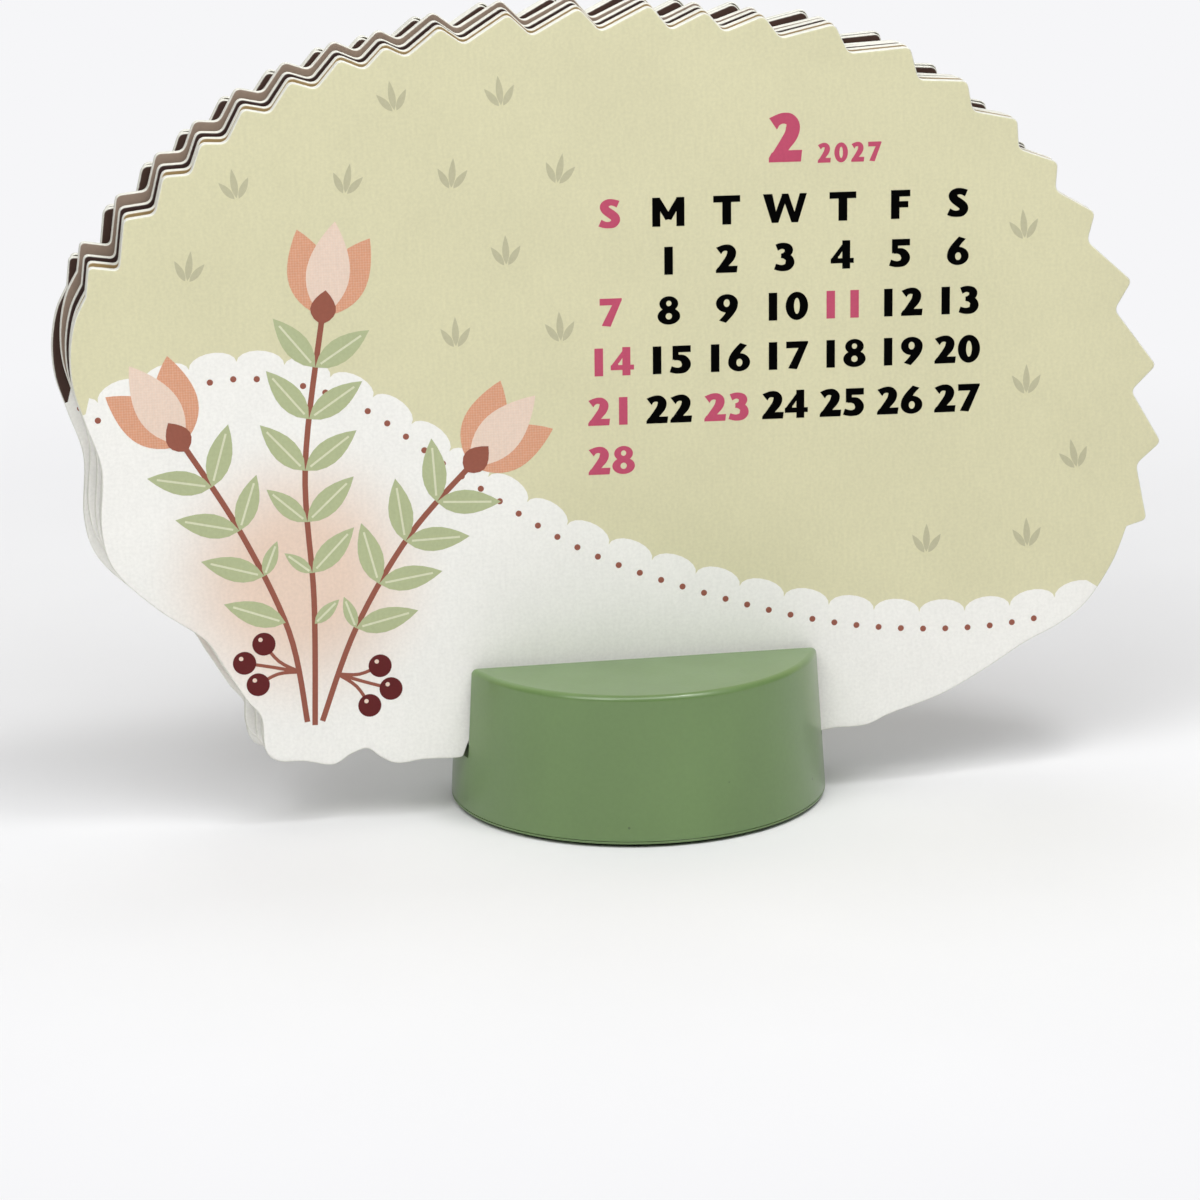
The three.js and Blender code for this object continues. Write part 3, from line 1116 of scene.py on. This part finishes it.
def box_mesh(name, size, centre):
    mesh = bpy.data.meshes.new(name)
    bm = bmesh.new()
    bmesh.ops.create_cube(bm, size=1.0)
    bmesh.ops.scale(bm, vec=Vector(size) * MM, verts=bm.verts)
    bmesh.ops.translate(bm, vec=Vector(centre) * MM, verts=bm.verts)
    bm.to_mesh(mesh)
    bm.free()
    return mesh


def cut(target, tool_mesh):
    """Takes a mesh away from an object."""
    tool = add_object("cutter", tool_mesh)
    modifier = target.modifiers.new("cut", "BOOLEAN")
    modifier.operation = "DIFFERENCE"
    modifier.solver = "EXACT"
    modifier.object = tool
    bake(target)
    bpy.data.objects.remove(tool)


def bake(target):
    """Writes an object's modifiers into its mesh."""
    graph = bpy.context.evaluated_depsgraph_get()
    made = bpy.data.meshes.new_from_object(target.evaluated_get(graph))
    target.modifiers.clear()
    target.data = made


def soften(target):
    """Small rounded edges, with shading that keeps the flats flat."""
    bevel = target.modifiers.new("edges", "BEVEL")
    bevel.width = EDGE_BEVEL * MM
    bevel.segments = 3
    bevel.limit_method = "ANGLE"
    bevel.angle_limit = math.radians(EDGE_ANGLE)
    bake(target)
    smooth_flats(target)


def smooth_flats(target):
    target.data.polygons.foreach_set("use_smooth", [True] * len(target.data.polygons))
    weighted = target.modifiers.new("normals", "WEIGHTED_NORMAL")
    weighted.keep_sharp = True
    bake(target)


def make_shell():
    top_radius = outer_radius(STAND_HEIGHT - TOP_FILLET) - TOP_FILLET
    shell = add_turned("stand_shell_moulding", [
        (0, SHELL_BOTTOM), *low_edge(STAND_RADIUS, SHELL_BOTTOM),
        *fillet(top_radius, STAND_HEIGHT - TOP_FILLET, TOP_FILLET, 0, 90, 8), (0, STAND_HEIGHT),
    ])
    # The hollow leaves the walls of the trough standing, because the trough is cut out of it first.
    ceiling = STAND_HEIGHT - TOP_WALL
    bottom = SHELL_BOTTOM - HOLLOW_SPARE
    hollow = add_turned("hollow", [
        (0, bottom), (outer_radius(SHELL_BOTTOM) - SHELL_WALL, bottom),
        (outer_radius(ceiling) - SHELL_WALL, ceiling), (0, ceiling),
    ], HOLLOW_STEPS)
    length = 2 * (STAND_RADIUS + CUT_SPARE)
    slot = (length, SLOT_WIDTH, SLOT_DEPTH + CUT_SPARE)
    trough = (length, SLOT_WIDTH + 2 * TROUGH_WALL, SLOT_DEPTH + TROUGH_WALL + CUT_SPARE)
    cut(hollow, box_mesh("trough", trough, (0, 0, SLOT_FLOOR - TROUGH_WALL + trough[2] / 2)))
    hollow_mesh = hollow.data
    bpy.data.objects.remove(hollow)
    cut(shell, box_mesh("slot", slot, (0, 0, SLOT_FLOOR + slot[2] / 2)))
    cut(shell, hollow_mesh)
    soften(shell)
    shell.data.materials.clear()
    shell.data.materials.append(plastic_material("stand_plastic", STAND_GREEN, 0.3))
    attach(shell, "stand")
    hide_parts("stand_shell")


def make_plate():
    spigot = outer_radius(PLATE_TOP) - SHELL_WALL - FIT_CLEARANCE
    plate = add_turned("base_plate_moulding", [
        (0, PAD_THICKNESS), *low_edge(STAND_RADIUS, PAD_THICKNESS),
        *fillet(STAND_RADIUS - EDGE_ROUND, RIM_TOP - EDGE_ROUND, EDGE_ROUND, 0, 90),
        (spigot, RIM_TOP), (spigot, PLATE_TOP), (0, PLATE_TOP),
    ])
    smooth_flats(plate)
    plate.data.materials.append(plastic_material("plate_plastic", PLATE_GREEN, 0.42))
    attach(plate, "stand")
    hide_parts("base_plate")


def make_pad():
    pad = add_turned("foot_pad_sheet", [
        (0, 0), *low_edge(PAD_RADIUS, 0), (PAD_RADIUS, PAD_THICKNESS), (0, PAD_THICKNESS),
    ])
    smooth_flats(pad)
    pad.data.materials.append(rubber_material())
    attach(pad, "stand")
    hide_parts("foot_pad")


# Floor, light and camera
FLOOR_SIZE = 6000.0
FLOOR_COLOUR = (232, 232, 233)
BACKDROP_SEEN = (246, 246, 248)
FLOOR_CENTRE = (0.0, 50.0)
FLOOR_NEAR = 85.0  # from FLOOR_CENTRE to where the floor starts to look like the backdrop
FLOOR_FAR = 235.0


def make_stage():
    mesh = bpy.data.meshes.new("floor")
    half = FLOOR_SIZE / 2 * MM
    corners = [(-half, -half, 0), (half, -half, 0), (half, half, 0), (-half, half, 0)]
    mesh.from_pydata(corners, [], [(0, 1, 2, 3)])
    n = Nodes("floor")
    n.put("Base Color", n.shaded(linear(FLOOR_COLOUR), n.vary(60, 0.985, 1.01)))
    n.put("Roughness", 0.9)
    n.put("Specular IOR Level", 0.1)
    # Away from the calendar and its shadow, the floor looks as pale as the backdrop.
    far = n.ramp(n.distance_to(*FLOOR_CENTRE), FLOOR_NEAR * MM, FLOOR_FAR * MM)
    path = n.add("ShaderNodeLightPath")
    backdrop = n.add("ShaderNodeEmission")
    backdrop.inputs["Color"].default_value = linear(BACKDROP_SEEN)
    mix = n.add("ShaderNodeMixShader")
    n.link(n.math("MULTIPLY", far, path.outputs["Is Camera Ray"]), mix.inputs["Fac"])
    n.link(n.shader.outputs["BSDF"], mix.inputs[1])
    n.link(backdrop.outputs["Emission"], mix.inputs[2])
    n.link(mix.outputs["Shader"], n.tree.nodes["Material Output"].inputs["Surface"])
    mesh.materials.append(n.material)
    add_object("floor", mesh)


WORLD_STRENGTH = 0.14
LIGHT_AIM = (0, 0, 45)
LIGHTS = (  # name, place, size and watts of each soft rectangle
    ("soft_left", (-450, -480, 560), (400, 400), 1.8),
    ("soft_right", (450, -480, 560), (400, 400), 0.45),
    ("soft_front", (0, -420, 720), (900, 450), 3.5),
    ("soft_top", (0, -140, 800), (900, 700), 0.9),
    ("soft_back", (0, 420, 620), (700, 500), 2.0),
    ("small_top", (190, -170, 680), (160, 100), 0.9),
)


def make_world():
    """A white surround that lights the scene weakly and is seen as the backdrop's colour."""
    world = bpy.data.worlds.new("studio")
    bpy.context.scene.world = world
    world.use_nodes = True
    tree = world.node_tree
    background = tree.nodes["Background"]
    background.inputs["Color"].default_value = (1.0, 1.0, 1.0, 1.0)
    background.inputs["Strength"].default_value = WORLD_STRENGTH
    seen = tree.nodes.new("ShaderNodeBackground")
    seen.inputs["Color"].default_value = linear(BACKDROP_SEEN)
    path = tree.nodes.new("ShaderNodeLightPath")
    mix = tree.nodes.new("ShaderNodeMixShader")
    link = tree.links.new
    link(path.outputs["Is Camera Ray"], mix.inputs["Fac"])
    link(background.outputs[0], mix.inputs[1])
    link(seen.outputs[0], mix.inputs[2])
    link(mix.outputs[0], tree.nodes["World Output"].inputs["Surface"])


def make_lights():
    for name, place, size, watts in LIGHTS:
        data = bpy.data.lights.new(name, "AREA")
        data.shape = "RECTANGLE"
        data.size, data.size_y = (s * MM for s in size)
        data.energy = watts
        lamp = add_object(name, data)
        lamp.location = Vector(place) * MM
        lamp.rotation_euler = (Vector(LIGHT_AIM) * MM - lamp.location).to_track_quat("-Z", "Y").to_euler()


# The photograph, taken as 1200 pixels wide and tall, shows the middle of the stand's lower end at AIM_PIXEL.
CAMERA_DISTANCE = 700.0
CAMERA_AZIMUTH = 9.786
CAMERA_ELEVATION = 17.787
CAMERA_ROLL = -0.988
FOCAL_PIXELS = 5138.0
PHOTO_SIDE = 1200
AIM_PIXEL = (635.18, 786.06)
AIM_POINT = (0.0, 0.0, 0.5)
SENSOR = 36.0
CLIP_START, CLIP_END = 0.01, 20.0  # in metres


def turned_view(direction, right_angle, up_angle):
    """A view direction turned right and then up, in its own frame."""
    right = direction.cross(Vector((0, 0, 1))).normalized()
    first = direction * math.cos(right_angle) + right * math.sin(right_angle)
    right = first.cross(Vector((0, 0, 1))).normalized()
    up = right.cross(first)
    second = first * math.cos(up_angle) + up * math.sin(up_angle)
    return second, right, right.cross(second)


def make_camera():
    azimuth, elevation = math.radians(CAMERA_AZIMUTH), math.radians(CAMERA_ELEVATION)
    level = math.cos(elevation)
    back = Vector((-math.sin(azimuth) * level, -math.cos(azimuth) * level, math.sin(elevation)))
    ahead, right, up = turned_view(
        -back,
        -math.atan2(AIM_PIXEL[0] - PHOTO_SIDE / 2, FOCAL_PIXELS),
        math.atan2(AIM_PIXEL[1] - PHOTO_SIDE / 2, FOCAL_PIXELS),
    )
    roll = math.radians(CAMERA_ROLL)
    x = right * math.cos(roll) + up * math.sin(roll)
    y = -right * math.sin(roll) + up * math.cos(roll)
    data = bpy.data.cameras.new("camera")
    data.sensor_width = SENSOR
    data.lens = FOCAL_PIXELS / PHOTO_SIDE * SENSOR
    data.clip_start = CLIP_START
    data.clip_end = CLIP_END
    rotation = Matrix((x, y, -ahead)).transposed()
    place = (Vector(AIM_POINT) + back * CAMERA_DISTANCE) * MM
    camera = add_object("camera", data, Matrix.Translation(place) @ rotation.to_4x4())
    bpy.context.scene.camera = camera


make_camera()
make_stage()
make_world()
make_lights()
make_boards()
make_shell()
make_plate()
make_pad()

bpy.context.scene.view_settings.view_transform = "Standard"
